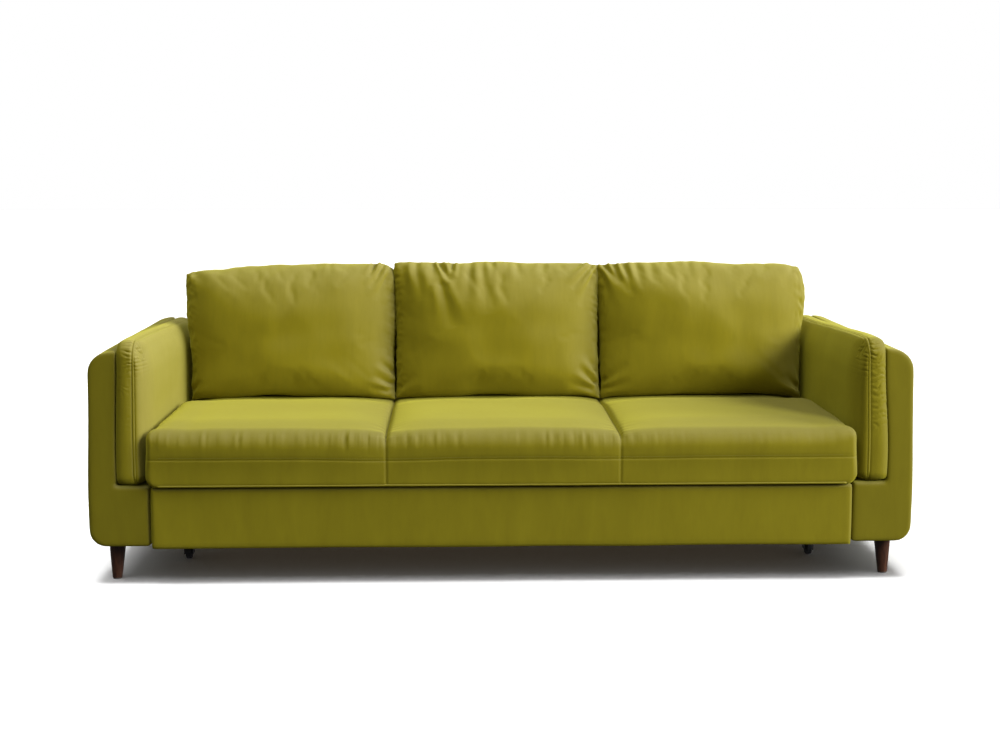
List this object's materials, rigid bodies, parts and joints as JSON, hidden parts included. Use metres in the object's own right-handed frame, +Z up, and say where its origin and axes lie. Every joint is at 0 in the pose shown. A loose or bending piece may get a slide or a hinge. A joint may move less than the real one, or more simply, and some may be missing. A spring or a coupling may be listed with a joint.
{
  "type": "sofa bed",
  "caption": "Upholstered sofa bed with box arms on tapered legs, roll-out seat unit with bedding drawer, fold-down back and loose back cushions.",
  "frame": {"origin": "on the floor, at the middle of the overall width and of the overall depth", "axes": "+X to the right seen from the front, along the sofa's length; front towards -Y; +Z up"},
  "size_m": [2.35, 0.974, 0.876],
  "materials": {
    "velvet": "olive green velvet upholstery with a short directional pile",
    "foam": "pale polyurethane foam and fibre filling",
    "board": "raw particle board and hardboard",
    "pine": "planed pine, unfinished",
    "birch_slat": "bent laminated birch, clear lacquer",
    "walnut": "dark walnut stain, satin lacquer",
    "black_steel": "black powder coat",
    "zinc_steel": "zinc plated steel",
    "nylon": "natural nylon",
    "castor_tread": "dark grey rubber tread",
    "felt": "grey felt glide"
  },
  "bodies": {
    "arms": {"arm_cover_left": "velvet", "arm_cover_right": "velvet", "arm_carcass_left": "board", "arm_carcass_right": "board", "arm_pad_left": "velvet", "arm_pad_right": "velvet", "leg_front_left": "walnut", "leg_front_right": "walnut", "leg_rear_left": "walnut", "leg_rear_right": "walnut", "leg_plates": "black_steel", "leg_bolts": "zinc_steel", "leg_glides": "felt", "rear_beam": "velvet", "beam_bolts": "zinc_steel", "guide_rail_left": "black_steel", "guide_rail_right": "black_steel"},
    "seat_unit": {"seat_side_wall_left": "board", "seat_side_wall_right": "board", "seat_side_rail_left": "pine", "seat_side_rail_right": "pine", "seat_front_rail": "pine", "seat_rear_rail": "pine", "seat_cross_rails": "pine", "seat_slats": "birch_slat", "seat_cover": "velvet", "seat_foam": "foam", "guide_shoes": "nylon", "castor_forks": "black_steel", "castor_axles": "zinc_steel", "hinge_arms": "black_steel", "hinge_pins": "zinc_steel", "drawer_channels": "zinc_steel"},
    "drawer": {"drawer_front_cover": "velvet", "drawer_front_board": "board", "drawer_side_left": "board", "drawer_side_right": "board", "drawer_rear": "board", "drawer_bottom": "board", "drawer_slides": "zinc_steel"},
    "back": {"back_cover": "velvet", "back_foam": "foam", "back_stiles": "pine", "back_bottom_rail": "pine", "back_middle_rail": "pine", "back_top_rail": "pine", "back_board": "board", "hinge_straps": "black_steel"},
    "cushion_left": {"cushion_cover_left": "velvet", "cushion_filling_left": "foam"},
    "cushion_middle": {"cushion_cover_middle": "velvet", "cushion_filling_middle": "foam"},
    "cushion_right": {"cushion_cover_right": "velvet", "cushion_filling_right": "foam"},
    "castor_front_left": {"castor_wheel_front_left": "castor_tread"},
    "castor_front_right": {"castor_wheel_front_right": "castor_tread"},
    "castor_rear_left": {"castor_wheel_rear_left": "castor_tread"},
    "castor_rear_right": {"castor_wheel_rear_right": "castor_tread"}
  },
  "joints": [
    {"name": "seat_slide", "type": "slide", "parent": "arms", "child": "seat_unit", "axis": [0, -1, 0], "range_m": [0, 0.4]},
    {"name": "drawer_slide", "type": "slide", "parent": "seat_unit", "child": "drawer", "axis": [0, -1, 0], "range_m": [0, 0.45]},
    {"name": "back_recline", "type": "hinge", "parent": "seat_unit", "child": "back", "pos_m": [0, 0.392, 0.365], "axis": [-1, 0, 0], "range_deg": [0, 90]},
    {"name": "cushion_left_lift", "type": "slide", "parent": "back", "child": "cushion_left", "axis": [0, 0, 1], "range_m": [0, 0.5]},
    {"name": "cushion_middle_lift", "type": "slide", "parent": "back", "child": "cushion_middle", "axis": [0, 0, 1], "range_m": [0, 0.5]},
    {"name": "cushion_right_lift", "type": "slide", "parent": "back", "child": "cushion_right", "axis": [0, 0, 1], "range_m": [0, 0.5]},
    {"name": "castor_front_left_roll", "type": "hinge", "parent": "seat_unit", "child": "castor_front_left", "pos_m": [-0.9425, -0.163, 0.03], "axis": [1, 0, 0], "continuous": true},
    {"name": "castor_front_right_roll", "type": "hinge", "parent": "seat_unit", "child": "castor_front_right", "pos_m": [0.9425, -0.163, 0.03], "axis": [1, 0, 0], "continuous": true},
    {"name": "castor_rear_left_roll", "type": "hinge", "parent": "seat_unit", "child": "castor_rear_left", "pos_m": [-0.9425, 0.237, 0.03], "axis": [1, 0, 0], "continuous": true},
    {"name": "castor_rear_right_roll", "type": "hinge", "parent": "seat_unit", "child": "castor_rear_right", "pos_m": [0.9425, 0.237, 0.03], "axis": [1, 0, 0], "continuous": true}
  ]
}
